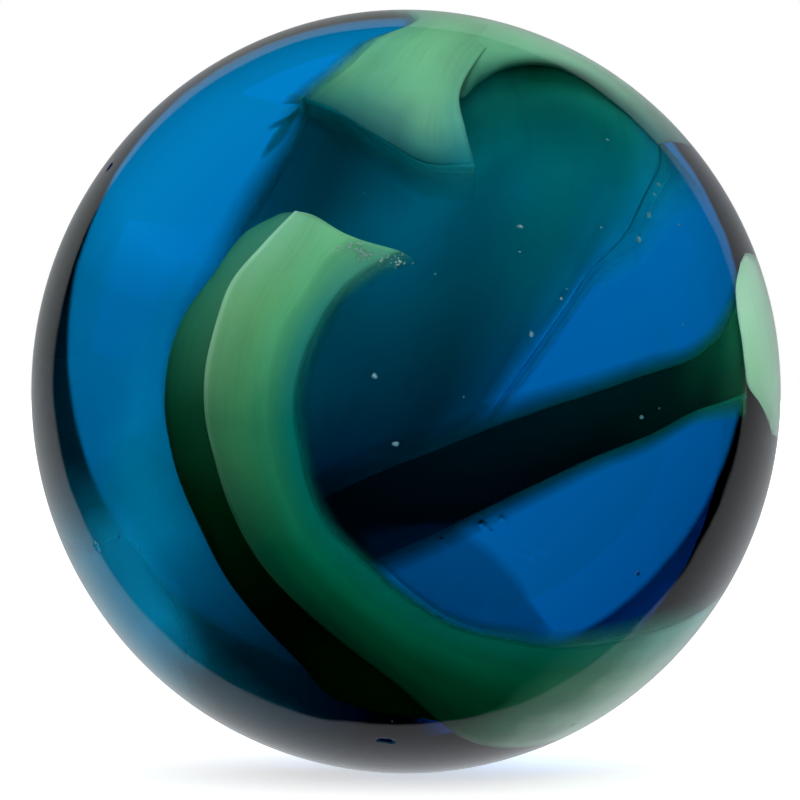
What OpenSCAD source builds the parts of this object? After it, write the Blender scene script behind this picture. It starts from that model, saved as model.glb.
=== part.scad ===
// Toy glass marble: one solid ball of clear blue glass with a green swirl fused into it.
// The ball was shaped hot between grooved rolls, and it came off them a touch long.
// Millimetres. The origin is the middle of the ball, and +Z runs up its longer axis.

/* [Ball] */
// Diameter across the equator, the size that a marble is sold by
equator_d = 16; // [10:0.1:42]
// Height from pole to pole, slightly more than the diameter on a ball rolled long
pole_h = 16.3; // [10:0.1:42]

/* [Hidden] */
// Fine enough that the preview's outline reads as round
$fn = 96;
clear_blue = [0.02, 0.38, 0.68];

// The whole marble. The swirl is the same glass coloured, so it is neither a core nor a layer.
module marble() {
    color(clear_blue)
        scale([1, 1, pole_h / equator_d])
            sphere(d = equator_d);
}

marble();
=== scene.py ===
"""Builds a glass marble: a ball of clear blue glass with a green swirl fused into it.

The file is laid out as a Blender add-on. Each part of the marble has an operator, and main() calls
them in order. Lengths are metres, and the middle of the ball is the origin.
"""
import math
import random

import bmesh
import bpy
from mathutils import Matrix, Vector, geometry, noise


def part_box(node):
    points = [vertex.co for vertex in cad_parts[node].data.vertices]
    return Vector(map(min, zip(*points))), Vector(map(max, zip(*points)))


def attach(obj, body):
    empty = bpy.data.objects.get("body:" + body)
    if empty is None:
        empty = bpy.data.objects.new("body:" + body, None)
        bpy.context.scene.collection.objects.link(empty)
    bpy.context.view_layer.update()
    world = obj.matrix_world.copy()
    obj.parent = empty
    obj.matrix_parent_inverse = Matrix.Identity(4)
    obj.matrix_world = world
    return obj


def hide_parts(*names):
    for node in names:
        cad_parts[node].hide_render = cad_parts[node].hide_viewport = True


bl_info = {
    "name": "Glass Marble",
    "version": (1, 0, 0),
    "blender": (4, 5, 0),
    "location": "View3D > Sidebar > Marble",
    "description": "Makes a clear glass marble with a swirl of opaque glass inside it",
    "category": "Add Mesh",
}

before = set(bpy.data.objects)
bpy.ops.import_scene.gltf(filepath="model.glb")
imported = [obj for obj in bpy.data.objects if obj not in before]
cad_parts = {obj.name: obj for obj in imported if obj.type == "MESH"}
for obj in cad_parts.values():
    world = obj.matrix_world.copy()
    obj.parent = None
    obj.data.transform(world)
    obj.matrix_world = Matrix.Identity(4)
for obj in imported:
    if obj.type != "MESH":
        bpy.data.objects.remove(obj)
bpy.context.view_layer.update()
MM = 0.001
BALL_LOW, BALL_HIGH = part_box("marble")
BALL_RADII = (BALL_HIGH - BALL_LOW) / 2
FLOOR_HEIGHT = BALL_LOW.z
# The clear glass that always covers the swirl, and how thick it is over the crest of the band.
LEAST_COVER = 0.02 * MM
CREST_COVER = 0.15 * MM
# The rim of a sheet is made in no fixed order, so its faces are put in order along this line.
SORT_LINE = Vector((1.0, 0.61, 0.37))
# How fine the soft clouds in the glass are, as a scale of Blender's noise.
CLOUD_SCALE = 600.0
BLACK = (0.0, 0.0, 0.0, 1.0)
WHITE = (1.0, 1.0, 1.0, 1.0)


# ---------------------------------------------------------------- settings

def length(name, description, default):
    """A length that shows in the sidebar in the scene's own unit."""
    return bpy.props.FloatProperty(name=name, description=description, default=default, unit="LENGTH",
                                   precision=5)


def colour(name, description, default):
    """A colour that shows in the sidebar as a swatch."""
    return bpy.props.FloatVectorProperty(name=name, description=description, default=default,
                                         subtype="COLOR", size=3, min=0.0, max=1.0)


def number(name, description, default):
    """A plain number, such as a strength or a share."""
    return bpy.props.FloatProperty(name=name, description=description, default=default)


class MarbleGlass(bpy.types.PropertyGroup):
    """The clear glass that the ball is made of."""

    tint: colour("Tint", "Colour that the light keeps as it goes through the glass", (0.0, 0.817, 0.932))
    density: number("Density", "How fast the glass takes the other colours out of the light", 600.0)
    wave: length("Wave", "Height of the faint waves that the rolls leave on the ball", 0.006 * MM)


class MarbleSwirl(bpy.types.PropertyGroup):
    """The opaque green glass that is wound through the ball."""

    gain: number("Gain", "How much light the green glass gives back, against its usual shades", 1.0)
    streak: number("Streak", "How strong the streaks in the green glass are", 0.3)
    thickness: length("Thickness", "Thickness of the sheets that the swirl is made of", 0.05 * MM)


class MarbleStudio(bpy.types.PropertyGroup):
    """The floor, the light and the camera."""

    lens: length("Lens", "Focal length of the camera's lens", 0.2)
    distance: length("Distance", "From the camera to the middle of the ball", 0.0951)
    tent: length("Tent", "Radius of the tent whose light the glass shows", 3.0)
    fill: number("Fill", "Strength of the soft lamp over the camera", 10.5)
    front: number("Front", "Strength of the ring of light around the camera", 3.0)
    kicker: number("Kicker", "Strength of the lamp at the lower right", 5.0)


# ---------------------------------------------------------------- shader maths

class Wire:
    """An output socket that takes part in Python sums, each of which adds a Math node."""

    def __init__(self, bench, socket):
        self.bench = bench
        self.socket = socket

    def maths(self, operation, *values):
        """The result of one Math node."""
        return self.bench.node("ShaderNodeMath", {"operation": operation}, dict(enumerate(values)))

    def __add__(self, other):
        return self.maths("ADD", self, other)

    def __radd__(self, other):
        return self.maths("ADD", other, self)

    def __sub__(self, other):
        return self.maths("SUBTRACT", self, other)

    def __rsub__(self, other):
        return self.maths("SUBTRACT", other, self)

    def __mul__(self, other):
        return self.maths("MULTIPLY", self, other)

    def __rmul__(self, other):
        return self.maths("MULTIPLY", other, self)


class Bench:
    """A material's node tree, with one method that adds any node to it."""

    def __init__(self, name):
        self.material = bpy.data.materials.new(name)
        self.material.use_nodes = True
        self.tree = self.material.node_tree
        self.tree.nodes.clear()

    def node(self, kind, settings=None, sockets=None, output=0):
        """Adds a node, sets it up, then fills its sockets with values or wires."""
        made = self.tree.nodes.new(kind)
        for key, value in (settings or {}).items():
            if key == "stops":
                self.set_stops(made.color_ramp, value)
            else:
                setattr(made, key, value)
        for key, value in (sockets or {}).items():
            if isinstance(value, Wire):
                self.tree.links.new(value.socket, made.inputs[key])
            else:
                made.inputs[key].default_value = value
        return Wire(self, made.outputs[output])

    @staticmethod
    def set_stops(ramp, stops):
        """Gives a colour ramp its stops, as pairs of a place and a colour or a share."""
        while len(ramp.elements) < len(stops):
            ramp.elements.new(1.0)
        for element, (place, shade) in zip(ramp.elements, stops):
            element.position = place
            element.color = (shade, shade, shade, 1.0) if isinstance(shade, float) else (*shade, 1.0)

    def ramp(self, value, stops):
        """The colour that a value between 0 and 1 picks from the stops."""
        return self.node("ShaderNodeValToRGB", {"stops": stops}, {"Fac": value})

    def mix(self, share, first, second, blend="MIX"):
        """Goes from the first colour to the second as the share goes from 0 to 1."""
        settings = {"data_type": "RGBA", "blend_type": blend}
        return self.node("ShaderNodeMix", settings, {0: share, 6: first, 7: second}, output=2)

    def step(self, value, low, high):
        """Goes smoothly from 0 to 1 as the value goes from low to high."""
        settings = {"interpolation_type": "SMOOTHSTEP"}
        return self.node("ShaderNodeMapRange", settings, {0: value, 1: low, 2: high})

    def noise(self, where, scale, detail=3.0):
        """Soft clouds from 0 to 1."""
        return self.node("ShaderNodeTexNoise", None, {"Vector": where, "Scale": scale, "Detail": detail})

    def place(self):
        """The point on the object that is being shaded."""
        return self.node("ShaderNodeTexCoord", None, None, output=3)

    def stretch(self, where, scale):
        """The same points, with the pattern on them squeezed by a scale for each axis."""
        return self.node("ShaderNodeMapping", None, {"Vector": where, "Scale": scale})

    def axis(self, where, index):
        """One of a point's three numbers."""
        return self.node("ShaderNodeSeparateXYZ", None, {0: where}, output=index)

    def finish(self, surface, volume=None):
        """Wires the shaders to the output, and gives back the material."""
        out = self.tree.nodes.new("ShaderNodeOutputMaterial")
        self.tree.links.new(surface.socket, out.inputs["Surface"])
        if volume is not None:
            self.tree.links.new(volume.socket, out.inputs["Volume"])
        return self.material


# ---------------------------------------------------------------- materials

def blue_glass(settings):
    """Polished clear glass, coloured all the way through."""
    bench = Bench("blue_glass")
    spots = bench.noise(bench.place(), 900.0)
    haze = bench.step(spots, 0.62, 0.75)
    surface = bench.node("ShaderNodeBsdfPrincipled", None, {
        "Base Color": WHITE,
        "Roughness": haze * 0.02,
        "IOR": 1.5,
        "Transmission Weight": 1.0,
    })
    volume = bench.node("ShaderNodeVolumeAbsorption", None, {
        "Color": (*settings.tint, 1.0),
        "Density": settings.density,
    })
    return bench.finish(surface, volume)


def green_glass(name, swirl, rows, cover=None):
    """Glass that takes its colours from its sheet: rows of stops along it, at places across it.

    The cover, a row along the sheet and a row across it, thins the glass out to a veil.
    """
    bench = Bench(name)
    sheet = bench.node("ShaderNodeAttribute", {"attribute_name": "sheet"}, None, output=1)
    streaks = bench.noise(bench.stretch(sheet, (1.5, 16.0, 1.0)), 1.6, 4.0) - 0.5
    clouds = bench.noise(bench.place(), CLOUD_SCALE, 4.0) - 0.5
    along = bench.axis(sheet, 0) + clouds * 0.05
    across = bench.axis(sheet, 1) + streaks * 0.05
    place, row = rows[0]
    shade = bench.ramp(along, row)
    for next_place, row in rows[1:]:
        shade = bench.mix(bench.step(across, place, next_place), shade, bench.ramp(along, row))
        place = next_place
    dim = streaks * swirl.streak + clouds * 0.3 + (1.0 - swirl.gain)
    shade = bench.mix(dim, shade, BLACK)
    sockets = {"Base Color": shade, "Roughness": 0.8, "Specular IOR Level": 0.0}
    if cover:
        thin = bench.ramp(along, cover[0]) * bench.ramp(across, cover[1])
        sockets["Alpha"] = thin * (1.0 + streaks * 0.3)
    return bench.finish(bench.node("ShaderNodeBsdfPrincipled", None, sockets))


def pale_specks(name, shade):
    """Tiny grains and chips, which show as pale specks."""
    bench = Bench(name)
    mottle = bench.noise(bench.place(), 9000.0)
    shade = bench.mix(mottle, shade, (0.3, 0.36, 0.34, 1.0))
    surface = bench.node("ShaderNodeBsdfPrincipled", None, {"Base Color": shade, "Roughness": 0.5})
    return bench.finish(surface)


# ---------------------------------------------------------------- shapes

def surface_radius(direction):
    """From the middle of the ball to its surface, in a direction that is one unit long."""
    return 1.0 / math.sqrt(sum((d / r) ** 2 for d, r in zip(direction, BALL_RADII)))


def under_surface(point, depth):
    """The point straight under the surface on the way out from the middle through the given one."""
    direction = point.normalized()
    return direction * (surface_radius(direction) - depth)


def smooth_between(points, share):
    """The point a share of the way along a smooth curve that goes through all the points."""
    last = len(points) - 1
    index = min(int(share * last), last - 1)
    step = share * last - index
    start = points[index]
    end = points[index + 1]
    before = points[index - 1] if index > 0 else start * 2 - end
    after = points[index + 2] if index + 2 <= last else end * 2 - start
    pull = end - before
    bend = before * 2 - start * 5 + end * 4 - after
    twist = start * 3 - before - end * 3 + after
    return start + (pull + (bend + twist * step) * step) * step * 0.5


def straight_between(values, share):
    """The number a share of the way along a row of numbers."""
    last = len(values) - 1
    index = min(int(share * last), last - 1)
    step = share * last - index
    return values[index] * (1 - step) + values[index + 1] * step


def new_piece(name, bm, material):
    """Makes the finished mesh an object of the marble."""
    mesh = bpy.data.meshes.new(name)
    bm.to_mesh(mesh)
    bm.free()
    for polygon in mesh.polygons:
        polygon.use_smooth = True
    piece = bpy.data.objects.new(name, mesh)
    piece.data.materials.append(material)
    bpy.context.collection.objects.link(piece)
    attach(piece, "root")
    return piece


def spread(rows):
    """Rows of stops at even places across a sheet."""
    return [(index / (len(rows) - 1), row) for index, row in enumerate(rows)]


def past(edge, inside, share):
    """A rail past a sheet's edge, by a share of the way to the edge from the rail inside it."""
    return [Vector(end) + (Vector(end) - Vector(start)) * share for end, start in zip(edge, inside)]


def thicken(bm, thickness):
    """Gives a sheet a second skin on its inner side, closes the rim, and keeps it all in the ball."""
    skin = bmesh.ops.extrude_face_region(bm, geom=bm.faces[:], use_keep_orig=True)["geom"]
    for vert in skin:
        if isinstance(vert, bmesh.types.BMVert):
            vert.co -= vert.normal * thickness
    for vert in bm.verts:
        highest = under_surface(vert.co, LEAST_COVER)
        if vert.co.length > highest.length:
            vert.co = highest
    bmesh.ops.recalc_face_normals(bm, faces=bm.faces)
    bm.faces.sort(key=lambda face: face.calc_center_median().dot(SORT_LINE))


def sheet(name, swirl, rails, rows, depths=None, cover=None, segments=(96, 24)):
    """A sheet of green glass stretched over rails, whose points are in millimetres.

    With depths, one for each rail, the sheet hugs the ball's surface at those depths.
    """
    rails = [[Vector(point) * MM for point in rail] for rail in rails]
    bm = bmesh.new()
    places = bm.verts.layers.float_vector.new("sheet")
    bmesh.ops.create_grid(bm, x_segments=segments[0], y_segments=segments[1], size=0.5)
    for vert in bm.verts:
        along = min(max(vert.co.x + 0.5, 0.0), 1.0)
        across = min(max(vert.co.y + 0.5, 0.0), 1.0)
        vert[places] = (along, across, 0.0)
        vert.co = smooth_between([smooth_between(rail, along) for rail in rails], across)
        if depths:
            vert.co = under_surface(vert.co, straight_between(depths, across) * MM)
    bm.normal_update()
    if sum(face.normal.dot(face.calc_center_median()) for face in bm.faces) < 0:
        bmesh.ops.reverse_faces(bm, faces=bm.faces)
        bm.normal_update()
    thicken(bm, swirl.thickness)
    return new_piece(name, bm, green_glass(name, swirl, rows, cover))


# ---------------------------------------------------------------- operators

class MARBLE_OT_ball(bpy.types.Operator):
    """Make the ball of clear blue glass, with its pits and scratches"""

    bl_idname = "marble.ball"
    bl_label = "Ball"

    # The size of the ball's faces, and of the faint waves and the marks' ragged edges.
    FACE_SIZE = 0.15 * MM
    RAGGED_SIZE = 0.06 * MM
    WAVES_ACROSS = 2.2
    # Each mark is the line that it follows in millimetres, its half width and its depth.
    MARKS = (
        (((-6.2, -2.0, 4.7),), 0.13, 0.05),
        (((5.6, -1.2, -5.7),), 0.10, 0.05),
        (((3.5, -2.3, -7.0),), 0.09, 0.04),
        (((-0.5, -3.8, -7.2), (-0.3, -3.8, -7.3)), 0.10, 0.06),
        (((-6.4, -3.7, -3.2),), 0.10, 0.04),
        (((1.2, -6.7, -4.3), (1.5, -6.6, -4.4), (1.6, -6.7, -4.2)), 0.13, 0.018),
        (((4.7, -5.4, -3.7),), 0.08, 0.04),
        (((1.5, -7.4, -2.6), (1.9, -7.2, -3.0), (2.5, -6.9, -3.3)), 0.08, 0.012),
        (((0.7, -7.4, -2.9), (1.0, -7.3, -3.2), (1.3, -7.1, -3.4)), 0.06, 0.008),
        (((1.9, -7.4, -2.5), (2.3, -7.1, -2.9), (2.8, -6.8, -3.2)), 0.06, 0.008),
        (((6.0, 3.5, 4.0),), 0.10, 0.05),
        (((-3.0, 6.5, 3.5),), 0.12, 0.05),
        (((2.0, 7.0, -3.4), (2.3, 7.0, -3.2)), 0.09, 0.04),
    )

    def execute(self, context):
        settings = context.scene.marble_glass
        bm = bmesh.new()
        bmesh.ops.create_icosphere(bm, subdivisions=7, radius=1.0)
        for vert in bm.verts:
            vert.co = under_surface(vert.co, 0.0)
        marks = [([under_surface(Vector(point) * MM, 0.0) for point in line], width * MM, depth * MM)
                 for line, width, depth in self.MARKS]
        for line, width, _ in marks:
            self.refine(bm, line, width * 1.5)
        for vert in bm.verts:
            direction = vert.co.normalized()
            wave = (noise.noise(direction * self.WAVES_ACROSS) - 1.0) * settings.wave
            sunk = sum(self.sink(vert.co, *mark) for mark in marks)
            vert.co = direction * (surface_radius(direction) + wave - sunk)
        bmesh.ops.recalc_face_normals(bm, faces=bm.faces)
        piece = new_piece("clear_ball", bm, blue_glass(settings))
        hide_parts("marble")
        return {"FINISHED"}

    @staticmethod
    def distance(point, line):
        """From a point to the nearest place on a line of one or more points."""
        if len(line) == 1:
            return (point - line[0]).length
        nearest = []
        for start, end in zip(line, line[1:]):
            foot, share = geometry.intersect_point_line(point, start, end)
            foot = start.lerp(end, min(max(share, 0.0), 1.0))
            nearest.append((point - foot).length)
        return min(nearest)

    def refine(self, bm, line, reach):
        """Cuts the ball's faces finer where a mark goes."""
        near = [vert for vert in bm.verts if self.distance(vert.co, line) < reach + self.FACE_SIZE]
        edges = {edge for vert in near for edge in vert.link_edges}
        bmesh.ops.subdivide_edges(bm, edges=list(edges), cuts=4, use_grid_fill=True)
        bmesh.ops.triangulate(bm, faces=[face for face in bm.faces if len(face.verts) > 4])

    def sink(self, point, line, width, depth):
        """How far a mark sinks the surface at a point, with a ragged edge."""
        away = self.distance(point, line) / width
        away = away * (1.0 + 0.5 * noise.noise(point / self.RAGGED_SIZE))
        return depth * (1.0 - away * away) ** 2 if away < 1.0 else 0.0


class MARBLE_OT_band(bpy.types.Operator):
    """Make the hooked band that lies under the surface, and the sheet that dives from its edge"""

    bl_idname = "marble.band"
    bl_label = "Hooked Band"

    # How many points of each rail lie before the band turns to the back of the ball.
    FRONT_POINTS = 17
    CREST = ((-2.2, -6.8, 3.6), (-2.9, -6.9, 2.9), (-3.5, -6.9, 2.2), (-3.8, -6.9, 1.3),
             (-4.0, -6.9, 0.4), (-4.0, -6.9, -0.5), (-3.8, -6.9, -1.4), (-3.6, -6.9, -2.2),
             (-3.2, -6.75, -3.0), (-2.7, -6.6, -3.7), (-2.0, -6.4, -4.4), (-1.2, -6.1, -5.1),
             (-0.2, -5.5, -5.9), (0.5, -4.7, -6.6), (1.5, -3.2, -7.3), (3.3, -1.0, -7.3),
             (4.9, 1.2, -6.4), (5.0, 3.2, -5.6), (3.9, 4.8, -5.3), (2.0, 5.7, -5.5), (0.0, 6.0, -5.5),
             (-1.8, 6.3, -4.8))
    OUTER = ((-1.8, -7.0, 3.5), (-2.2, -7.2, 2.8), (-2.7, -7.2, 2.1), (-3.1, -7.3, 1.3),
             (-3.3, -7.3, 0.4), (-3.4, -7.3, -0.5), (-3.3, -7.2, -1.3), (-3.0, -7.2, -2.1),
             (-2.6, -7.1, -2.9), (-2.0, -6.9, -3.7), (-1.3, -6.7, -4.4), (-0.5, -6.3, -5.1),
             (0.5, -5.7, -5.8), (1.4, -4.9, -6.3), (2.4, -3.7, -6.8), (4.1, -1.9, -6.6),
             (5.7, 0.4, -5.7), (5.7, 2.9, -5.0), (4.4, 5.0, -4.8), (2.4, 6.0, -5.0), (0.2, 6.3, -5.1),
             (-1.9, 6.4, -4.7))
    INSIDE = ((-1.1, -7.3, 3.1), (-1.6, -7.4, 2.6), (-2.0, -7.5, 2.0), (-2.5, -7.5, 1.2),
              (-2.7, -7.5, 0.4), (-2.8, -7.5, -0.4), (-2.7, -7.5, -1.3), (-2.5, -7.4, -2.0),
              (-2.1, -7.3, -2.9), (-1.4, -7.1, -3.7), (-0.6, -6.8, -4.4), (0.3, -6.4, -5.0),
              (1.4, -5.8, -5.5), (2.4, -5.1, -5.8), (3.5, -4.2, -5.9), (5.0, -2.5, -5.7),
              (6.2, -0.1, -5.0), (6.2, 2.7, -4.3), (4.8, 5.0, -4.2), (2.8, 6.2, -4.5), (0.5, 6.6, -4.6),
              (-2.0, 6.4, -4.6))
    INNER = ((-0.1, -7.5, 2.9), (-1.0, -7.6, 2.4), (-1.5, -7.7, 1.9), (-1.9, -7.7, 1.2),
             (-2.2, -7.7, 0.4), (-2.3, -7.7, -0.4), (-2.2, -7.7, -1.2), (-2.0, -7.5, -2.0),
             (-1.6, -7.3, -2.8), (-0.8, -7.1, -3.6), (0.0, -6.8, -4.3), (1.0, -6.3, -4.9),
             (2.1, -5.8, -5.2), (3.1, -5.2, -5.4), (4.2, -4.4, -5.3), (5.5, -3.1, -5.0),
             (6.7, -0.7, -4.3), (6.7, 2.4, -3.6), (5.3, 4.9, -3.6), (3.2, 6.3, -4.0), (0.8, 6.8, -4.2),
             (-2.0, 6.5, -4.5))
    DIVE = ((-2.4, -5.7, 3.4), (-3.1, -5.6, 3.0), (-3.7, -5.6, 2.2), (-4.2, -5.5, 1.5),
            (-4.5, -5.4, 0.7), (-4.6, -5.4, -0.2), (-4.5, -5.3, -0.9), (-4.3, -5.3, -1.7),
            (-3.9, -5.2, -2.6), (-3.4, -5.1, -3.6), (-2.7, -4.8, -4.5), (-2.0, -4.4, -5.2),
            (-1.3, -3.8, -5.9), (0.1, -3.5, -6.2), (1.4, -3.3, -6.2))
    ROOT = ((-2.2, -4.8, 3.1), (-2.8, -4.8, 2.7), (-3.3, -4.7, 2.0), (-3.8, -4.6, 1.3),
            (-4.0, -4.5, 0.6), (-4.1, -4.5, -0.2), (-4.0, -4.4, -0.9), (-3.8, -4.4, -1.6),
            (-3.4, -4.4, -2.4), (-2.9, -4.3, -3.3), (-2.1, -4.1, -4.0), (-1.5, -3.7, -4.6),
            (-0.6, -3.3, -5.2), (0.6, -2.9, -5.5), (1.8, -2.6, -5.3))

    # The band's rows paint its light and shade. Each runs from bright green at the top of the band, through
    # painted shade that grows to near black towards its bottom as if lit from above, then to a painted pale
    # light where the tail passes under the lower right rim.
    CREST_SHADES = ((0.0, (0.16, 0.40, 0.25)), (0.12, (0.12, 0.30, 0.15)), (0.25, (0.03, 0.13, 0.06)),
                    (0.4, (0.0, 0.04, 0.02)), (0.5, (0.0, 0.02, 0.01)), (0.63, (0.0, 0.025, 0.01)),
                    (0.67, (0.02, 0.12, 0.06)), (0.71, (0.36, 0.56, 0.43)), (1.0, (0.2, 0.4, 0.25)))
    OUTER_SHADES = ((0.0, (0.13, 0.36, 0.2)), (0.12, (0.10, 0.29, 0.13)), (0.25, (0.03, 0.16, 0.07)),
                    (0.4, (0.0, 0.07, 0.03)), (0.5, (0.0, 0.05, 0.02)), (0.63, (0.0, 0.04, 0.015)),
                    (0.67, (0.03, 0.14, 0.08)), (0.71, (0.36, 0.56, 0.43)), (1.0, (0.2, 0.4, 0.25)))
    INSIDE_SHADES = ((0.0, (0.14, 0.40, 0.2)), (0.12, (0.08, 0.31, 0.15)), (0.25, (0.02, 0.17, 0.08)),
                     (0.4, (0.0, 0.12, 0.06)), (0.5, (0.0, 0.10, 0.05)), (0.63, (0.0, 0.08, 0.035)),
                     (0.68, (0.04, 0.18, 0.1)), (0.72, (0.36, 0.56, 0.43)), (1.0, (0.2, 0.4, 0.25)))
    INNER_SHADES = ((0.0, (0.14, 0.36, 0.22)), (0.12, (0.04, 0.24, 0.18)), (0.25, (0.0, 0.14, 0.11)),
                    (0.4, (0.0, 0.13, 0.09)), (0.5, (0.0, 0.12, 0.08)), (0.63, (0.0, 0.12, 0.07)),
                    (0.69, (0.05, 0.2, 0.13)), (0.73, (0.36, 0.56, 0.43)), (1.0, (0.2, 0.4, 0.25)))
    # A painted highlight: a thin pale line along the crest of the band, brightest at the top and fading
    # lower down.
    CREST_HIGHLIGHT_SHADES = ((0.0, (0.28, 0.56, 0.38)), (0.15, (0.20, 0.40, 0.25)), (0.25, (0.06, 0.17, 0.1)),
                   (0.35, (0.01, 0.06, 0.03)), (0.5, (0.0, 0.015, 0.005)), (0.63, (0.0, 0.02, 0.01)),
                   (0.72, (0.2, 0.4, 0.25)), (1.0, (0.2, 0.4, 0.25)))
    # Painted shade: the sheet that dives from the band is the same green glass, painted from dull green to
    # black as it goes down and in, as the side of the band that lies in shade.
    SIDE_PAINTED_SHADE = ((0.0, (0.08, 0.26, 0.16)), (0.2, (0.04, 0.16, 0.08)), (0.35, (0.005, 0.05, 0.02)),
                   (0.5, (0.0, 0.015, 0.004)), (0.7, (0.0, 0.002, 0.0)), (1.0, (0.0, 0.01, 0.0)))
    ROOT_PAINTED_SHADE = ((0.0, (0.02, 0.08, 0.05)), (0.3, (0.0, 0.05, 0.03)), (0.5, (0.0, 0.015, 0.01)),
                   (0.7, (0.0, 0.0, 0.0)), (1.0, (0.0, 0.01, 0.0)))
    EDGE_SHADES = ((0.0, (0.14, 0.36, 0.22)), (0.16, (0.03, 0.2, 0.15)), (0.32, (0.0, 0.12, 0.10)),
                   (0.55, (0.0, 0.11, 0.07)), (0.8, (0.0, 0.12, 0.08)), (1.0, (0.2, 0.4, 0.25)))
    FRINGE_SHADES = ((0.0, (0.04, 0.2, 0.12)), (0.2, (0.0, 0.08, 0.08)), (0.38, (0.0, 0.02, 0.03)),
                     (0.5, (0.0, 0.004, 0.01)), (0.62, (0.0, 0.01, 0.02)), (0.7, (0.0, 0.02, 0.04)),
                     (1.0, (0.1, 0.2, 0.15)))
    # A painted shadow: the two rails of a thin dark navy veil over the blue glass beside the band's inner
    # edge, where the band's shade falls.
    PAINTED_SHADOW_EDGE = ((-1.2, -7.4, -2.8), (-0.6, -7.1, -3.6), (0.1, -6.8, -4.3), (1.0, -6.3, -4.9),
                  (2.0, -5.8, -5.2), (3.1, -5.2, -5.4))
    PAINTED_SHADOW_REACH = ((-0.1, -7.5, -2.9), (0.9, -7.5, -2.8), (1.8, -7.1, -3.3), (2.4, -6.6, -3.9),
                   (2.8, -6.0, -4.6), (3.2, -5.3, -5.2))

    def execute(self, context):
        swirl = context.scene.marble_swirl
        rows = [(0.0, self.CREST_HIGHLIGHT_SHADES), (0.07, self.CREST_SHADES), (0.33, self.OUTER_SHADES),
                (0.67, self.INSIDE_SHADES), (1.0, self.INNER_SHADES)]
        sheet("hooked_band", swirl, [self.CREST, self.OUTER, self.INSIDE, self.INNER], rows,
              depths=(0.05, 0.06, 0.10, 0.5), segments=(168, 24))
        # The diving sheet, painted dark as the shaded side of the band.
        crest = self.CREST[:len(self.DIVE)]
        crest = [under_surface(Vector(point) * MM, CREST_COVER) / MM for point in crest]
        sheet("diving_sheet", swirl, [crest, self.DIVE, self.ROOT],
              spread([self.SIDE_PAINTED_SHADE, self.SIDE_PAINTED_SHADE, self.ROOT_PAINTED_SHADE]), segments=(112, 20))
        rails = [past(self.INNER, self.INSIDE, share)[:self.FRONT_POINTS] for share in (-0.02, 0.45)]
        cover = ([(0.0, 0.5), (0.06, 1.0), (0.9, 1.0), (1.0, 0.0)],
                 [(0.0, 1.0), (0.2, 0.7), (0.5, 0.35), (1.0, 0.0)])
        sheet("band_fringe", swirl, rails, spread([self.EDGE_SHADES, self.FRINGE_SHADES]),
              depths=(0.5, 1.0), cover=cover, segments=(112, 16))
        # Painted shadow: a dark navy veil beside the band's inner edge.
        shadow_navy = ((0.0, (0.0, 0.01, 0.03)), (1.0, (0.0, 0.01, 0.03)))
        cover = ([(0.0, 0.0), (0.15, 1.0), (0.9, 1.0), (1.0, 0.3)],
                 [(0.0, 0.35), (0.85, 0.27), (1.0, 0.0)])
        sheet("band_painted_shadow", swirl, [self.PAINTED_SHADOW_EDGE, self.PAINTED_SHADOW_REACH], spread([shadow_navy, shadow_navy]),
              depths=(0.9, 0.9), cover=cover, segments=(48, 16))
        return {"FINISHED"}


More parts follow.
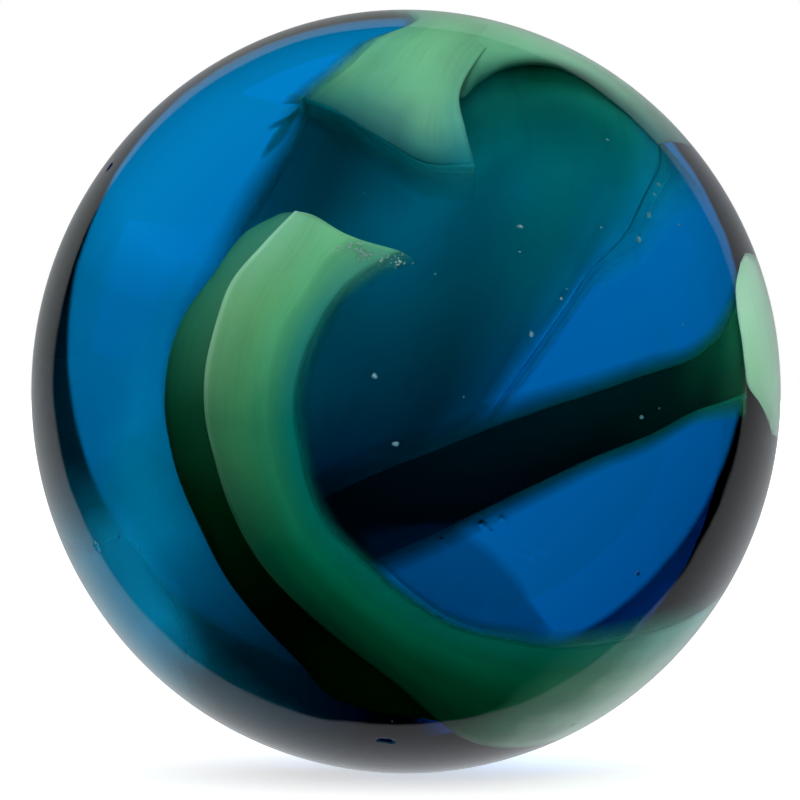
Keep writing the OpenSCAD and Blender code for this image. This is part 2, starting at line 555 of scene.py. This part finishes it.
class MARBLE_OT_top(bpy.types.Operator):
    """Make the band that crosses the top of the ball, and its patch on the side"""

    bl_idname = "marble.top"
    bl_label = "Top Band"

    LOBE = (
        ((-1.2, 3.4, 7.2), (-0.7, 1.2, 7.8), (0.3, -1.9, 7.9), (-0.6, -3.4, 7.4), (-1.2, -4.3, 6.8),
         (-1.7, -4.7, 6.3), (-2.1, -5.0, 6.0)),
        ((-0.5, 3.9, 7.0), (0.0, 1.4, 7.9), (0.7, -1.9, 7.9), (0.0, -3.9, 7.1), (-0.5, -4.9, 6.4),
         (-1.0, -5.4, 5.9), (-1.3, -5.6, 5.6)),
        ((0.3, 4.3, 6.8), (0.8, 1.6, 7.9), (1.2, -1.8, 7.8), (0.5, -4.1, 7.0), (0.1, -5.2, 6.2),
         (-0.2, -5.8, 5.6), (-0.5, -6.2, 5.1)),
        ((1.2, 4.6, 6.5), (1.6, 1.6, 7.8), (1.8, -1.6, 7.8), (1.0, -4.0, 7.0), (0.6, -5.3, 6.1),
         (0.4, -6.0, 5.3), (0.4, -6.6, 4.6)),
        ((2.1, 4.7, 6.2), (2.4, 1.4, 7.7), (2.3, -1.3, 7.7), (1.5, -4.0, 6.9), (1.1, -5.2, 6.1),
         (1.2, -5.9, 5.3), (1.4, -6.5, 4.6)),
    )
    LOBE_SHADES = (
        ((0.0, (0.2, 0.42, 0.25)), (0.33, (0.2, 0.45, 0.28)), (0.5, (0.2, 0.48, 0.28)),
         (0.67, (0.17, 0.4, 0.22)), (0.82, (0.07, 0.24, 0.14)), (1.0, (0.0, 0.08, 0.1))),
        ((0.0, (0.2, 0.42, 0.25)), (0.35, (0.2, 0.48, 0.26)), (0.5, (0.2, 0.5, 0.28)),
         (0.67, (0.13, 0.36, 0.22)), (0.83, (0.05, 0.19, 0.15)), (1.0, (0.01, 0.08, 0.09))),
        ((0.0, (0.2, 0.42, 0.25)), (0.35, (0.2, 0.5, 0.28)), (0.5, (0.2, 0.5, 0.28)),
         (0.67, (0.15, 0.40, 0.24)), (0.84, (0.06, 0.2, 0.16)), (1.0, (0.01, 0.08, 0.09))),
        ((0.0, (0.2, 0.42, 0.25)), (0.35, (0.18, 0.45, 0.25)), (0.65, (0.16, 0.41, 0.24)),
         (0.83, (0.11, 0.32, 0.21)), (0.93, (0.035, 0.17, 0.15)), (1.0, (0.0, 0.06, 0.07))),
        ((0.0, (0.2, 0.42, 0.25)), (0.35, (0.18, 0.45, 0.24)), (0.65, (0.13, 0.36, 0.23)),
         (0.8, (0.10, 0.34, 0.26)), (0.92, (0.03, 0.2, 0.19)), (1.0, (0.0, 0.13, 0.16))),
    )
    ARM = (
        ((0.7, -4.5, 6.7), (1.1, -5.2, 6.1), (1.5, -4.8, 6.4), (2.0, -4.1, 6.7), (2.6, -3.5, 6.8),
         (3.2, -3.1, 6.8), (3.8, -3.0, 6.5), (4.3, -3.1, 6.1), (4.8, -3.1, 5.7), (5.3, -3.2, 5.2)),
        ((1.0, -3.3, 7.4), (1.5, -3.2, 7.3), (2.1, -3.0, 7.2), (2.6, -2.8, 7.2), (3.1, -2.4, 7.1),
         (3.7, -2.2, 6.9), (4.2, -2.1, 6.6), (4.7, -2.2, 6.2), (5.2, -2.4, 5.8), (5.5, -2.7, 5.2)),
        ((1.0, -0.5, 8.0), (1.6, -0.5, 7.9), (2.2, -0.5, 7.8), (2.8, -0.5, 7.6), (3.4, -0.5, 7.3),
         (4.1, -0.5, 7.0), (4.7, -0.6, 6.7), (5.2, -0.8, 6.2), (5.7, -1.2, 5.8), (5.8, -2.0, 5.2)),
        ((0.6, 3.0, 7.5), (1.6, 3.6, 7.1), (2.6, 4.0, 6.5), (3.4, 4.0, 6.0), (4.0, 3.6, 5.9),
         (4.6, 3.1, 5.8), (5.0, 2.5, 5.7), (5.5, 1.6, 5.5), (5.9, 0.4, 5.3), (6.0, -1.4, 5.2)),
    )
    # The first row is painted shade: the arm's inner edge, where it folds deep under the arch, is painted
    # dark green to near black.
    ARM_SHADES = (
        ((0.0, (0.1, 0.3, 0.2)), (0.2, (0.005, 0.07, 0.05)), (0.45, (0.0, 0.015, 0.008)),
         (0.7, (0.01, 0.07, 0.05)), (1.0, (0.02, 0.15, 0.15))),
        ((0.0, (0.16, 0.43, 0.24)), (0.3, (0.22, 0.55, 0.32)), (0.5, (0.28, 0.6, 0.38)),
         (0.8, (0.2, 0.42, 0.28)), (1.0, (0.08, 0.2, 0.2))),
        ((0.0, (0.24, 0.5, 0.3)), (0.6, (0.4, 0.72, 0.5)), (1.0, (0.16, 0.32, 0.3))),
        ((0.0, (0.24, 0.5, 0.3)), (1.0, (0.12, 0.3, 0.24))),
    )
    PATCH = (
        ((7.0, -2.9, 2.7), (6.8, -3.5, 2.2), (6.9, -3.8, 1.7), (6.9, -3.8, 1.1), (7.0, -3.8, 0.5),
         (7.1, -3.7, 0.1), (7.4, -3.0, -0.3), (7.7, -2.0, -0.9)),
        ((7.1, -2.3, 2.9), (7.5, -0.4, 2.8), (7.6, 0.8, 2.3), (7.6, 1.4, 1.6), (7.7, 1.5, 0.8),
         (7.8, 1.2, 0.0), (7.9, 0.4, -0.6), (7.9, -0.9, -1.0)),
    )
    PATCH_SHADES = (
        ((0.0, (0.55, 0.90, 0.62)), (0.3, (0.62, 0.95, 0.68)), (0.6, (0.45, 0.80, 0.5)),
         (1.0, (0.35, 0.6, 0.42))),
        ((0.0, (0.65, 0.95, 0.72)), (1.0, (0.6, 0.9, 0.68))),
        ((0.0, (0.3, 0.56, 0.4)), (0.5, (0.36, 0.62, 0.46)), (1.0, (0.26, 0.5, 0.36))),
    )

    def execute(self, context):
        swirl = context.scene.marble_swirl
        sheet("top_lobe", swirl, self.LOBE, spread(self.LOBE_SHADES),
              depths=(0.3, 0.12, 0.08, 0.08, 0.14), segments=(96, 48))
        sheet("top_arm", swirl, self.ARM, spread(self.ARM_SHADES),
              depths=(0.35, 0.1, 0.06, 0.2), segments=(96, 36))
        sheet("side_patch", swirl, self.PATCH, spread(self.PATCH_SHADES),
              depths=(0.1, 0.06), segments=(48, 24))
        whole = [(0.0, 1.0), (1.0, 1.0)]
        left = self.LOBE[0]
        sheet("lobe_side_fringe", swirl, [left, past(left, self.LOBE[1], 0.9)],
              spread([self.LOBE_SHADES[0], ((0.0, (0.02, 0.15, 0.14)), (1.0, (0.0, 0.05, 0.1)))]),
              depths=(0.35, 0.9), cover=(whole, [(0.0, 0.9), (0.5, 0.4), (1.0, 0.0)]), segments=(64, 12))
        tips = [rail[-1] for rail in self.LOBE]
        before = [rail[-2] for rail in self.LOBE]
        sheet("lobe_tip_fringe", swirl, [tips, past(tips, before, 0.6)],
              spread([((0.0, (0.0, 0.07, 0.08)), (0.6, (0.0, 0.09, 0.10)), (1.0, (0.01, 0.2, 0.22))),
                      ((0.0, (0.0, 0.04, 0.05)), (0.6, (0.0, 0.06, 0.07)), (1.0, (0.0, 0.14, 0.16)))]),
              depths=(0.12, 1.0), cover=(whole, [(0.0, 1.0), (0.4, 0.5), (1.0, 0.0)]), segments=(48, 12))
        return {"FINISHED"}


class MARBLE_OT_folds(bpy.types.Operator):
    """Make the folds of the swirl that lie deep in the ball, and its thin veils"""

    bl_idname = "marble.folds"
    bl_label = "Deep Folds"

    BRIDGE = (
        ((6.7, -3.2, 1.9), (6.1, -3.7, 1.1), (5.4, -4.3, 0.6), (4.3, -3.9, 0.3), (3.3, -3.5, 0.0),
         (2.3, -3.2, -0.3), (1.4, -3.0, -0.6), (0.4, -3.0, -1.0), (-0.6, -3.0, -1.4),
         (-1.6, -3.0, -1.9), (-2.6, -3.0, -2.4)),
        ((6.8, -3.4, 0.0), (6.1, -3.8, -0.2), (5.4, -4.3, -0.4), (4.3, -3.9, -0.8), (3.3, -3.5, -1.1),
         (2.3, -3.2, -1.5), (1.4, -3.0, -1.9), (0.4, -3.0, -2.4), (-0.5, -3.0, -2.8),
         (-1.4, -3.0, -3.3), (-2.3, -3.0, -3.8)),
    )
    BRIDGE_SHADES = (
        ((0.0, (0.05, 0.26, 0.11)), (0.1, (0.005, 0.07, 0.03)), (0.25, (0.001, 0.018, 0.012)),
         (1.0, (0.0, 0.004, 0.007))),
        ((0.0, (0.03, 0.09, 0.04)), (0.15, (0.003, 0.018, 0.012)), (0.4, (0.0, 0.005, 0.004)),
         (1.0, (0.0, 0.003, 0.006))),
    )
    BRIDGE_EDGE = ((0.0, (0.03, 0.2, 0.1)), (0.2, (0.005, 0.09, 0.05)), (0.7, (0.0, 0.04, 0.04)),
                   (1.0, (0.0, 0.01, 0.015)))
    CURTAIN = (
        ((-1.8, -4.5, 5.7), (-1.9, -3.6, 4.6), (-2.2, -2.8, 3.6), (-2.5, -2.4, 2.9), (-2.8, -2.2, 2.0),
         (-3.1, -2.0, 1.4), (-3.5, -2.0, 0.6), (-3.7, -2.0, -0.3), (-3.8, -2.2, -1.2)),
        ((-1.1, -4.8, 5.4), (-1.1, -3.0, 4.4), (-1.3, -2.0, 3.4), (-1.7, -1.6, 2.6), (-1.9, -1.2, 1.7),
         (-2.3, -1.2, 1.0), (-2.8, -1.2, 0.1), (-3.1, -1.2, -0.8), (-3.3, -1.4, -1.7)),
        ((0.3, -5.6, 4.6), (0.2, -3.0, 3.7), (0.0, -1.6, 2.8), (-0.2, -1.0, 2.0), (-0.4, -0.8, 1.2),
         (-0.6, -0.8, 0.5), (-0.9, -1.0, -0.4), (-1.2, -1.2, -1.4), (-1.6, -1.4, -2.4)),
        ((1.1, -4.8, 5.9), (1.3, -4.1, 4.8), (1.1, -1.8, 3.4), (1.0, -1.0, 2.5), (0.8, -0.6, 1.7),
         (0.6, -0.6, 0.9), (0.4, -0.8, 0.0), (0.0, -1.0, -0.9), (-0.5, -1.4, -2.0)),
        ((2.5, -3.1, 6.6), (2.6, -3.3, 5.5), (2.5, -2.0, 4.1), (2.3, -1.2, 3.0), (2.1, -0.8, 2.2),
         (1.8, -0.8, 1.4), (1.5, -0.8, 0.6), (1.0, -1.0, -0.3), (0.4, -1.4, -1.4)),
        ((3.9, -2.5, 6.2), (4.1, -2.9, 5.3), (3.8, -2.3, 4.1), (3.3, -1.6, 3.1), (2.8, -1.2, 2.2),
         (2.3, -1.0, 1.4), (1.8, -1.0, 0.7), (1.3, -1.2, -0.1), (0.7, -1.4, -1.1)),
        ((5.0, -2.7, 5.1), (4.8, -2.6, 4.4), (4.2, -2.4, 3.5), (3.6, -2.0, 2.6), (2.9, -1.6, 1.9),
         (2.4, -1.4, 1.2), (1.9, -1.4, 0.5), (1.4, -1.4, -0.2), (0.9, -1.6, -1.0)),
    )
    # The curtain is an opaque sheet. Its colours are partly the green glass's own tones and partly painted
    # light: the glow that the blue glass behind would give through a thin veil, painted strongest and
    # bluest towards its right edge.
    CURTAIN_SHADES = (
        ((0.0, (0.03, 0.18, 0.2)), (0.3, (0.02, 0.2, 0.2)), (0.6, (0.02, 0.3, 0.3)),
         (1.0, (0.02, 0.2, 0.2))),
        ((0.0, (0.03, 0.14, 0.12)), (0.35, (0.02, 0.16, 0.12)), (0.7, (0.02, 0.25, 0.15)),
         (1.0, (0.02, 0.1, 0.1))),
        ((0.0, (0.02, 0.3, 0.28)), (0.12, (0.02, 0.5, 0.42)), (0.27, (0.02, 0.5, 0.36)),
         (0.42, (0.02, 0.35, 0.24)), (0.55, (0.02, 0.25, 0.17)), (0.72, (0.01, 0.14, 0.11)),
         (0.88, (0.0, 0.03, 0.05)), (1.0, (0.0, 0.01, 0.02))),
        ((0.0, (0.0, 0.06, 0.05)), (0.1, (0.02, 0.25, 0.18)), (0.2, (0.04, 0.5, 0.33)),
         (0.3, (0.02, 0.36, 0.25)), (0.5, (0.02, 0.3, 0.19)), (0.65, (0.02, 0.18, 0.12)),
         (0.85, (0.01, 0.07, 0.06)), (1.0, (0.0, 0.01, 0.02))),
        ((0.0, (0.0, 0.01, 0.005)), (0.06, (0.0, 0.06, 0.03)), (0.13, (0.02, 0.25, 0.16)),
         (0.3, (0.03, 0.55, 0.34)), (0.45, (0.03, 0.5, 0.28)), (0.62, (0.02, 0.35, 0.24)),
         (0.78, (0.02, 0.22, 0.2)), (1.0, (0.005, 0.08, 0.09))),
        ((0.0, (0.0, 0.02, 0.01)), (0.07, (0.01, 0.1, 0.06)), (0.15, (0.02, 0.3, 0.2)),
         (0.4, (0.03, 0.5, 0.4)), (0.6, (0.03, 0.48, 0.4)), (0.8, (0.02, 0.35, 0.38)),
         (1.0, (0.01, 0.13, 0.15))),
        ((0.0, (0.02, 0.2, 0.22)), (0.3, (0.03, 0.42, 0.45)), (0.6, (0.02, 0.6, 0.7)),
         (0.8, (0.02, 0.5, 0.65)), (1.0, (0.01, 0.2, 0.28))),
    )
    HAZE = (
        ((-5.9, 0.5, 5.0), (-7.3, 0.5, 3.0), (-7.9, 0.5, 1.0), (-7.9, 0.5, -1.2), (-7.4, 0.5, -3.2),
         (-6.3, 0.5, -5.0), (-5.0, 0.5, -6.3), (-3.3, 0.5, -7.3), (-1.4, 0.5, -8.0)),
        ((-5.2, -5.0, 3.0), (-6.1, -4.6, 1.6), (-6.6, -4.3, 0.0), (-6.7, -4.0, -1.6),
         (-6.3, -3.8, -2.9), (-5.6, -3.6, -4.3), (-4.5, -3.4, -5.6), (-3.0, -3.2, -6.8),
         (-1.2, -3.2, -7.4)),
        ((-4.6, -5.8, 2.8), (-5.3, -5.7, 1.6), (-5.7, -5.6, 0.4), (-5.9, -5.3, -0.9),
         (-5.6, -5.1, -2.4), (-5.0, -5.0, -3.8), (-4.1, -4.6, -5.1), (-2.7, -4.2, -6.3),
         (-0.7, -4.0, -7.0)),
        ((-3.9, -6.3, 2.6), (-4.3, -6.4, 1.7), (-4.4, -6.6, 0.8), (-4.3, -6.7, -0.4),
         (-4.0, -6.6, -2.0), (-3.3, -6.3, -3.6), (-2.2, -5.8, -4.9), (-1.2, -5.2, -5.9),
         (0.4, -4.5, -6.7)),
    )
    # The haze is a dim teal veil. Its two outer rows also paint a rim glow, bright cyan where it meets the
    # rim at the lower left, and painted shade, black on either side of that glow over the rim's dark band.
    HAZE_SHADES = (
        ((0.0, (0.0, 0.0, 0.0)), (0.42, (0.0, 0.01, 0.02)), (0.55, (0.05, 0.7, 0.9)),
         (0.74, (0.05, 0.8, 0.95)), (0.82, (0.01, 0.03, 0.05)), (1.0, (0.0, 0.0, 0.0))),
        ((0.0, (0.0, 0.02, 0.04)), (0.36, (0.0, 0.04, 0.07)), (0.45, (0.0, 0.14, 0.23)),
         (0.53, (0.01, 0.38, 0.62)), (0.68, (0.01, 0.5, 0.8)), (0.78, (0.0, 0.08, 0.12)),
         (1.0, (0.0, 0.01, 0.02))),
        ((0.0, (0.0, 0.1, 0.12)), (0.35, (0.0, 0.22, 0.3)), (0.56, (0.0, 0.24, 0.34)),
         (0.65, (0.0, 0.12, 0.18)), (0.73, (0.0, 0.06, 0.1)), (0.8, (0.0, 0.02, 0.03)),
         (1.0, (0.0, 0.0, 0.01))),
        ((0.0, (0.0, 0.12, 0.14)), (0.4, (0.0, 0.13, 0.15)), (0.6, (0.0, 0.04, 0.06)),
         (1.0, (0.0, 0.0, 0.01))),
    )

    def execute(self, context):
        swirl = context.scene.marble_swirl
        fade = ([(0.0, 1.0), (0.9, 1.0), (1.0, 0.0)], [(0.0, 0.9), (0.5, 0.4), (1.0, 0.0)])
        upper, lower = self.BRIDGE
        sheet("bridge", swirl, self.BRIDGE, spread(self.BRIDGE_SHADES), segments=(96, 16))
        sheet("bridge_upper_fringe", swirl, [upper, past(upper, lower, 0.35)],
              spread([self.BRIDGE_EDGE, self.BRIDGE_EDGE]), cover=fade, segments=(64, 8))
        sheet("bridge_lower_fringe", swirl, [lower, past(lower, upper, 0.3)],
              spread([self.BRIDGE_EDGE, self.BRIDGE_EDGE]), cover=fade, segments=(64, 8))
        sheet("curtain", swirl, self.CURTAIN, spread(self.CURTAIN_SHADES), segments=(96, 96))
        soft = (fade[0], [(0.0, 1.0), (0.25, 0.6), (0.6, 0.25), (1.0, 0.0)])
        left = [past(self.CURTAIN[0], self.CURTAIN[1], share) for share in (-0.02, 0.8)]
        sheet("curtain_left_fringe", swirl, left, spread([self.CURTAIN_SHADES[0]] * 2), cover=soft,
              segments=(64, 16))
        # The right fringe carries the curtain's painted blue glow at its right edge.
        right = [past(self.CURTAIN[-1], self.CURTAIN[-2], share) for share in (-0.02, 1.1)]
        sheet("curtain_right_fringe", swirl, right, spread([self.CURTAIN_SHADES[-1]] * 2), cover=soft,
              segments=(64, 16))
        thin = ([(0.0, 0.0), (0.1, 0.25), (0.35, 0.35), (0.45, 0.6), (0.7, 0.7), (0.82, 0.85), (1.0, 0.9)],
                [(0.0, 0.9), (0.3, 0.8), (0.6, 0.9), (1.0, 1.0)])
        sheet("haze", swirl, self.HAZE, spread(self.HAZE_SHADES),
              depths=(0.2, 0.3, 1.0, 1.6), cover=thin, segments=(96, 48))
        return {"FINISHED"}


class MARBLE_OT_seeds(bpy.types.Operator):
    """Make the seeds and chips, which are tiny grains caught in the glass, and the dark threads"""

    bl_idname = "marble.seeds"
    bl_label = "Seeds"

    STRAY_SEEDS = 50
    CHIPS_AT_EACH = 12
    # Seeds and chips lie this far under the surface.
    SEED_DEPTH = 0.4 * MM
    CHIP_DEPTH = 0.1 * MM
    # Each seed's place and its radius, in millimetres.
    SEEDS = (
        ((4.8, -4.8, 3.5), 0.06), ((4.6, -5.3, 3.0), 0.08), ((3.8, -5.7, 3.2), 0.05),
        ((2.2, -6.5, 3.2), 0.07), ((2.2, -6.7, 2.7), 0.03), ((2.4, -7.0, 1.1), 0.05),
        ((-0.6, -7.5, 0.3), 0.05), ((1.1, -7.4, -0.1), 0.03), ((4.6, -6.0, -0.5), 0.06),
        ((-0.2, -7.4, -1.0), 0.05), ((4.9, -4.3, 3.9), 0.03), ((5.0, -4.0, 4.1), 0.07),
        ((4.0, -4.2, 5.0), 0.03), ((3.3, -5.2, 4.5), 0.02), ((5.4, -4.2, 3.3), 0.03),
        ((3.0, -6.7, 1.8), 0.03),
    )
    CHIPS = ((-1.2, -7.4, 2.9), (-0.9, -7.5, 2.8), (-0.7, -7.5, 2.7), (-0.4, -7.6, 2.6),
             (-0.2, -7.6, 2.6))
    THREADS = (
        (((-2.1, -5.0, 6.0), (-2.4, -5.2, 5.7), (-2.7, -5.4, 5.4), (-2.9, -5.6, 5.0), (-3.0, -5.7, 4.8)),
         ((-2.0, -5.1, 5.9), (-2.3, -5.3, 5.6), (-2.5, -5.6, 5.3), (-2.8, -5.7, 4.9), (-3.0, -5.8, 4.8))),
        (((-2.2, -5.1, 5.9), (-2.4, -5.2, 5.8), (-2.7, -5.2, 5.6), (-2.9, -5.2, 5.5)),
         ((-2.2, -5.2, 5.8), (-2.4, -5.3, 5.6), (-2.6, -5.3, 5.5), (-2.9, -5.3, 5.4))),
    )

    def execute(self, context):
        draw = random.Random(7)
        bm = bmesh.new()
        for place, radius in self.SEEDS:
            self.seed(bm, under_surface(Vector(place) * MM, self.SEED_DEPTH), radius * MM, draw)
        for _ in range(self.STRAY_SEEDS):
            around = Vector((draw.gauss(0, 1), draw.gauss(0, 1), draw.gauss(0, 1))).normalized()
            around.y = min(around.y, 0.6)
            depth = draw.uniform(0.2, 1.2) * MM
            self.seed(bm, under_surface(around, depth), draw.uniform(0.012, 0.025) * MM, draw)
        new_piece("seeds", bm, pale_specks("seeds", (0.06, 0.14, 0.18, 1.0)))

        bm = bmesh.new()
        for place in self.CHIPS:
            for _ in range(self.CHIPS_AT_EACH):
                shift = Vector((draw.gauss(0, 0.14), 0.0, draw.gauss(0, 0.07)))
                spot = under_surface((Vector(place) + shift) * MM, self.CHIP_DEPTH)
                self.seed(bm, spot, draw.uniform(0.012, 0.032) * MM, draw)
        new_piece("chips", bm, pale_specks("chips", (0.08, 0.22, 0.15, 1.0)))

        swirl = context.scene.marble_swirl
        shades = ((0.0, (0.0, 0.06, 0.06)), (1.0, (0.0, 0.05, 0.08)))
        for index, rails in enumerate(self.THREADS):
            sheet(f"thread_{index + 1}", swirl, rails, spread([shades, shades]), depths=(0.3, 0.35),
                  cover=([(0.0, 0.8), (0.7, 0.6), (1.0, 0.0)], [(0.0, 0.3), (0.5, 0.9), (1.0, 0.3)]),
                  segments=(32, 4))
        return {"FINISHED"}

    @staticmethod
    def seed(bm, place, radius, draw):
        """Adds one seed, which is lumpy and a little longer one way."""
        stretch = (draw.uniform(0.6, 1.6), draw.uniform(0.5, 0.9), draw.uniform(0.5, 1.2), 1.0)
        matrix = Matrix.Translation(place) @ Matrix.Diagonal(stretch)
        made = bmesh.ops.create_icosphere(bm, subdivisions=2, radius=radius, matrix=matrix)
        for vert in made["verts"]:
            lump = 1.0 + 0.5 * noise.noise(vert.co / radius * 1.3)
            vert.co = place + (vert.co - place) * lump


class MARBLE_OT_studio(bpy.types.Operator):
    """Set up the floor, the light and the camera"""

    bl_idname = "marble.studio"
    bl_label = "Studio"

    # How far the picture is shifted, as shares of its width, so that the ball sits a little off the middle.
    SHIFT = (-0.0074, -0.0105)
    SENSOR_WIDTH = 36.0
    FLOOR_HALF_WIDTH = 4.0

    def execute(self, context):
        scene = context.scene
        settings = scene.marble_studio
        scene.view_settings.view_transform = "Standard"
        world = bpy.data.worlds.new("studio")
        world.use_nodes = True
        world.node_tree.nodes["Background"].inputs["Color"].default_value = WHITE
        scene.world = world

        camera = bpy.data.objects.new("camera", bpy.data.cameras.new("camera"))
        camera.data.lens = settings.lens / MM
        camera.data.sensor_width = self.SENSOR_WIDTH
        camera.data.shift_x, camera.data.shift_y = self.SHIFT
        camera.location = (0.0, -settings.distance, 0.0)
        camera.rotation_euler = (math.radians(90.0), 0.0, 0.0)
        camera.data.clip_start = 0.001
        scene.collection.objects.link(camera)
        scene.camera = camera

        floor = self.stage_piece("floor", self.floor_mesh, self.floor_material())
        floor.visible_glossy = False
        floor.visible_transmission = False

        surround = self.stage_piece("surround", self.tent_mesh, self.surround_material())
        self.only_for_glass(surround, through=False)
        backdrop = self.stage_piece("backdrop", self.tent_mesh, self.backdrop_material())
        self.only_for_glass(backdrop, through=True)
        for tent in (surround, backdrop):
            tent.parent = camera
            tent.location = (0.0, 0.0, -settings.distance)
            tent.scale = (settings.tent,) * 3

        self.lamp("fill", self.disc_mesh, settings.fill, (-0.8, 1.5, 1.1), camera)
        self.lamp("kicker", self.disc_mesh, settings.kicker, (1.5, -1.05, 1.1), camera)
        self.lamp("front", self.ring_mesh, settings.front, (0.0, 0.0, 1.4), camera)
        return {"FINISHED"}

    def lamp(self, name, shape, strength, place, camera):
        """Hangs a soft lamp beside the camera, facing the ball."""
        lamp = self.stage_piece(name, shape, self.glow(name, strength))
        self.only_for_glass(lamp, through=True)
        lamp.parent = camera
        lamp.location = place
        lamp.rotation_mode = "QUATERNION"
        lamp.rotation_quaternion = Vector(place).to_track_quat("Z", "Y")

    @staticmethod
    def stage_piece(name, shape, material):
        """Makes one thing of the studio, which is not part of the marble."""
        bm = bmesh.new()
        shape(bm)
        mesh = bpy.data.meshes.new(name)
        bm.to_mesh(mesh)
        bm.free()
        mesh.materials.append(material)
        thing = bpy.data.objects.new(name, mesh)
        bpy.context.collection.objects.link(thing)
        return thing

    @staticmethod
    def only_for_glass(thing, through):
        """Hides a thing from all but the light that goes through the glass, or that it mirrors."""
        thing.visible_camera = False
        thing.visible_diffuse = False
        thing.visible_shadow = False
        thing.visible_transmission = through
        thing.visible_glossy = not through

    def floor_mesh(self, bm):
        """A flat floor that the ball stands on."""
        place = Matrix.Translation((0.0, 0.0, FLOOR_HEIGHT))
        bmesh.ops.create_grid(bm, x_segments=1, y_segments=1, size=self.FLOOR_HALF_WIDTH, matrix=place)

    @staticmethod
    def tent_mesh(bm):
        """A round tent about the ball."""
        bmesh.ops.create_uvsphere(bm, u_segments=64, v_segments=32, radius=1.0)

    @staticmethod
    def disc_mesh(bm):
        """A round lamp."""
        bmesh.ops.create_circle(bm, cap_ends=True, segments=48, radius=1.0)

    @staticmethod
    def ring_mesh(bm):
        """A ring lamp, whose hole leaves the camera's view clear."""
        bmesh.ops.create_cone(bm, segments=48, radius1=2.1, radius2=0.76, depth=0.1)

    @staticmethod
    def glow(name, strength):
        """The plain light that a lamp gives."""
        bench = Bench(name)
        return bench.finish(bench.node("ShaderNodeEmission", None, {"Strength": strength}))

    @staticmethod
    def floor_material():
        """Pale paper, lit a little from within so that the shadow stays soft."""
        bench = Bench("floor")
        grain = bench.noise(bench.place(), 40.0)
        paper = bench.mix(grain, (0.80, 0.80, 0.80, 1.0), (0.84, 0.84, 0.84, 1.0))
        surface = bench.node("ShaderNodeBsdfPrincipled", None, {
            "Base Color": paper,
            "Roughness": 0.9,
            "Specular IOR Level": 0.0,
            "Emission Color": WHITE,
            "Emission Strength": 0.6,
        })
        return bench.finish(surface)

    @staticmethod
    def surround_material():
        """What the ball mirrors: white walls ahead and to the lower right, dark behind the camera."""
        bench = Bench("surround")
        place = bench.place()
        ahead = bench.axis(place, 2) * -1.0
        down = bench.axis(place, 1) * -1.0
        lower_right = bench.axis(place, 0) * 0.42 + down * 0.91
        ragged = bench.noise(place, 3.0, 5.0) - 0.5
        inside = ahead * 0.96 + lower_right * 0.22 + ragged * 0.12
        white = bench.step(inside, 0.60, 0.63)
        bright = (bench.step(ahead, 0.5, 1.1) * 0.28 + 0.34) * (bench.step(down, -0.1, 0.3) * 0.5 + 0.6)
        surface = bench.node("ShaderNodeEmission", None, {
            "Color": bench.mix(lower_right + 0.5, (0.94, 1.0, 0.98, 1.0), (0.9, 0.94, 1.0, 1.0)),
            "Strength": white * bright,
        })
        return bench.finish(surface)

    @staticmethod
    def backdrop_material():
        """What shows through the ball: a white sheet that is dimmer and bluer to the upper left."""
        bench = Bench("backdrop")
        place = bench.place()
        up = bench.axis(place, 1)
        ahead = bench.axis(place, 2) * -1.0
        lower_right = bench.axis(place, 0) * 0.7 - up * 0.7
        ragged = bench.noise(place, 4.0, 4.0) - 0.5
        right = bench.axis(place, 0)
        inside = right * right + (up + 0.22) * (up + 0.22) + ragged * 0.08
        white = bench.step(inside, 0.64, 0.60) * bench.step(ahead, 0.0, 0.1)
        stops = ((0.0, (0.20, 0.25, 0.36)), (0.35, (0.50, 0.60, 0.72)), (1.0, (1.0, 1.0, 1.0)))
        cloth = bench.ramp(lower_right * 0.75 + 0.5, stops)
        surface = bench.node("ShaderNodeEmission", None, {"Color": cloth, "Strength": white})
        return bench.finish(surface)


class MARBLE_PT_panel(bpy.types.Panel):
    """Lists the marble's parts in the sidebar"""

    bl_idname = "MARBLE_PT_panel"
    bl_label = "Glass Marble"
    bl_space_type = "VIEW_3D"
    bl_region_type = "UI"
    bl_category = "Marble"

    def draw(self, context):
        for group in GROUPS:
            box = self.layout.box()
            settings = getattr(context.scene, group)
            for name in settings.__annotations__:
                box.prop(settings, name)
        for operator in OPERATORS:
            self.layout.operator(operator.bl_idname)


OPERATORS = (MARBLE_OT_studio, MARBLE_OT_ball, MARBLE_OT_band, MARBLE_OT_top, MARBLE_OT_folds,
             MARBLE_OT_seeds)
GROUPS = {"marble_glass": MarbleGlass, "marble_swirl": MarbleSwirl, "marble_studio": MarbleStudio}


def register():
    for made in (*GROUPS.values(), *OPERATORS, MARBLE_PT_panel):
        bpy.utils.register_class(made)
    for name, group in GROUPS.items():
        setattr(bpy.types.Scene, name, bpy.props.PointerProperty(type=group))


def unregister():
    for name in GROUPS:
        delattr(bpy.types.Scene, name)
    for made in (MARBLE_PT_panel, *reversed(OPERATORS), *reversed(GROUPS.values())):
        bpy.utils.unregister_class(made)


def main():
    register()
    bpy.ops.marble.studio()
    bpy.ops.marble.ball()
    bpy.ops.marble.band()
    bpy.ops.marble.top()
    bpy.ops.marble.folds()
    bpy.ops.marble.seeds()


if __name__ == "__main__":
    main()
